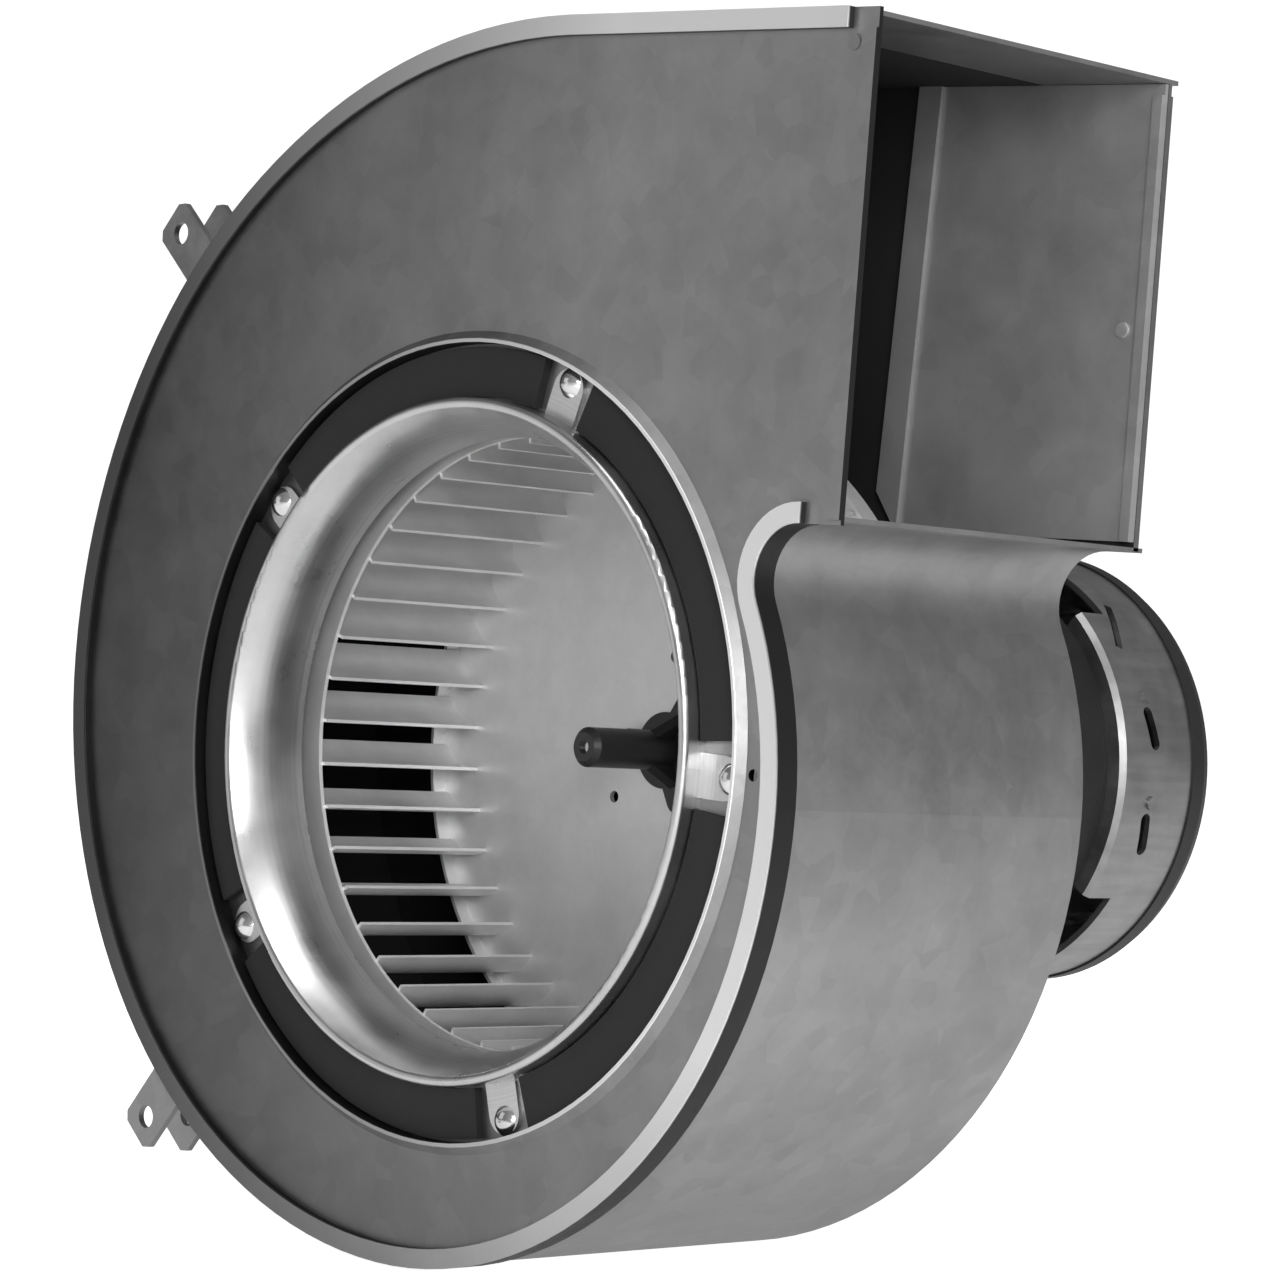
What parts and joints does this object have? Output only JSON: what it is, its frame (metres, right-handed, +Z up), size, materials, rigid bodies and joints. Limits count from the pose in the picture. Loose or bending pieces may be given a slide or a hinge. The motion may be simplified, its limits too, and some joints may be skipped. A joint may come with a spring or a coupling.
{
  "type": "combustion fan",
  "caption": "Small centrifugal combustion fan: sheet scroll housing, bell-mouth inlet, squirrel-cage wheel and shaded-pole motor.",
  "frame": {"origin": "on the fan axis, in the plane of the front rim at the inlet", "axes": "+Y along the fan axis from the inlet to the motor, +Z up, +X towards the outlet"},
  "size_m": [0.1945, 0.163, 0.216],
  "materials": {
    "housing_sheet": "mottled galvanised sheet, satin",
    "wrapper_sheet": "rolled galvanised sheet, satin",
    "spun_ring": "spun bright steel, semi-gloss",
    "bright_steel": "bright plated steel",
    "lug_steel": "plated steel",
    "wheel_sheet": "bright galvanised sheet",
    "hub_black": "black, satin",
    "shaft_steel": "ground steel",
    "gasket_black": "black rubber foam, matt",
    "motor_black": "black paint, satin",
    "motor_shell": "plated pressed steel, satin",
    "cap_black": "gloss black paint",
    "lamination": "black varnished laminations",
    "copper_winding": "varnished copper",
    "cast_aluminium": "as cast",
    "bearing_bronze": "sintered bronze",
    "felt": "oiled felt",
    "washer_nylon": "natural nylon"
  },
  "bodies": {
    "housing": {"front_plate": "housing_sheet", "back_plate": "housing_sheet", "scroll_wrapper": "wrapper_sheet", "outlet_liner": "housing_sheet", "liner_spot_weld": "bright_steel", "inlet_ring": "spun_ring", "inlet_gasket": "gasket_black", "inlet_rivets": "bright_steel", "upper_lug": "lug_steel", "lower_lug": "lug_steel", "lug_welds": "lug_steel", "corner_weld": "housing_sheet", "motor_gasket": "gasket_black", "motor_adapter": "motor_black", "motor_grommets": "gasket_black", "motor_screws": "bright_steel", "motor_screw_nuts": "bright_steel", "front_end_bell": "motor_black", "rear_end_bell": "motor_shell", "rear_cap": "cap_black", "stator_core": "lamination", "stator_coils": "copper_winding", "shading_rings": "copper_winding", "front_bearing": "bearing_bronze", "rear_bearing": "bearing_bronze", "oil_felts": "felt", "bearing_retainers": "shaft_steel", "through_bolts": "bright_steel", "bolt_nuts": "bright_steel", "lead_grommet": "gasket_black"},
    "rotor": {"wheel_front_ring": "wheel_sheet", "wheel_blades": "wheel_sheet", "wheel_back_disc": "wheel_sheet", "wheel_hub": "hub_black", "hub_rivets": "hub_black", "hub_set_screw": "hub_black", "motor_shaft": "shaft_steel", "rotor_core": "lamination", "rotor_cage": "cast_aluminium", "thrust_washers": "washer_nylon", "shaft_collars": "shaft_steel", "cooling_disc": "cast_aluminium"}
  },
  "joints": [
    {"name": "wheel_spin", "type": "hinge", "parent": "housing", "child": "rotor", "pos_m": [0, 0.0335, 0], "axis": [0, 1, 0], "continuous": true}
  ]
}
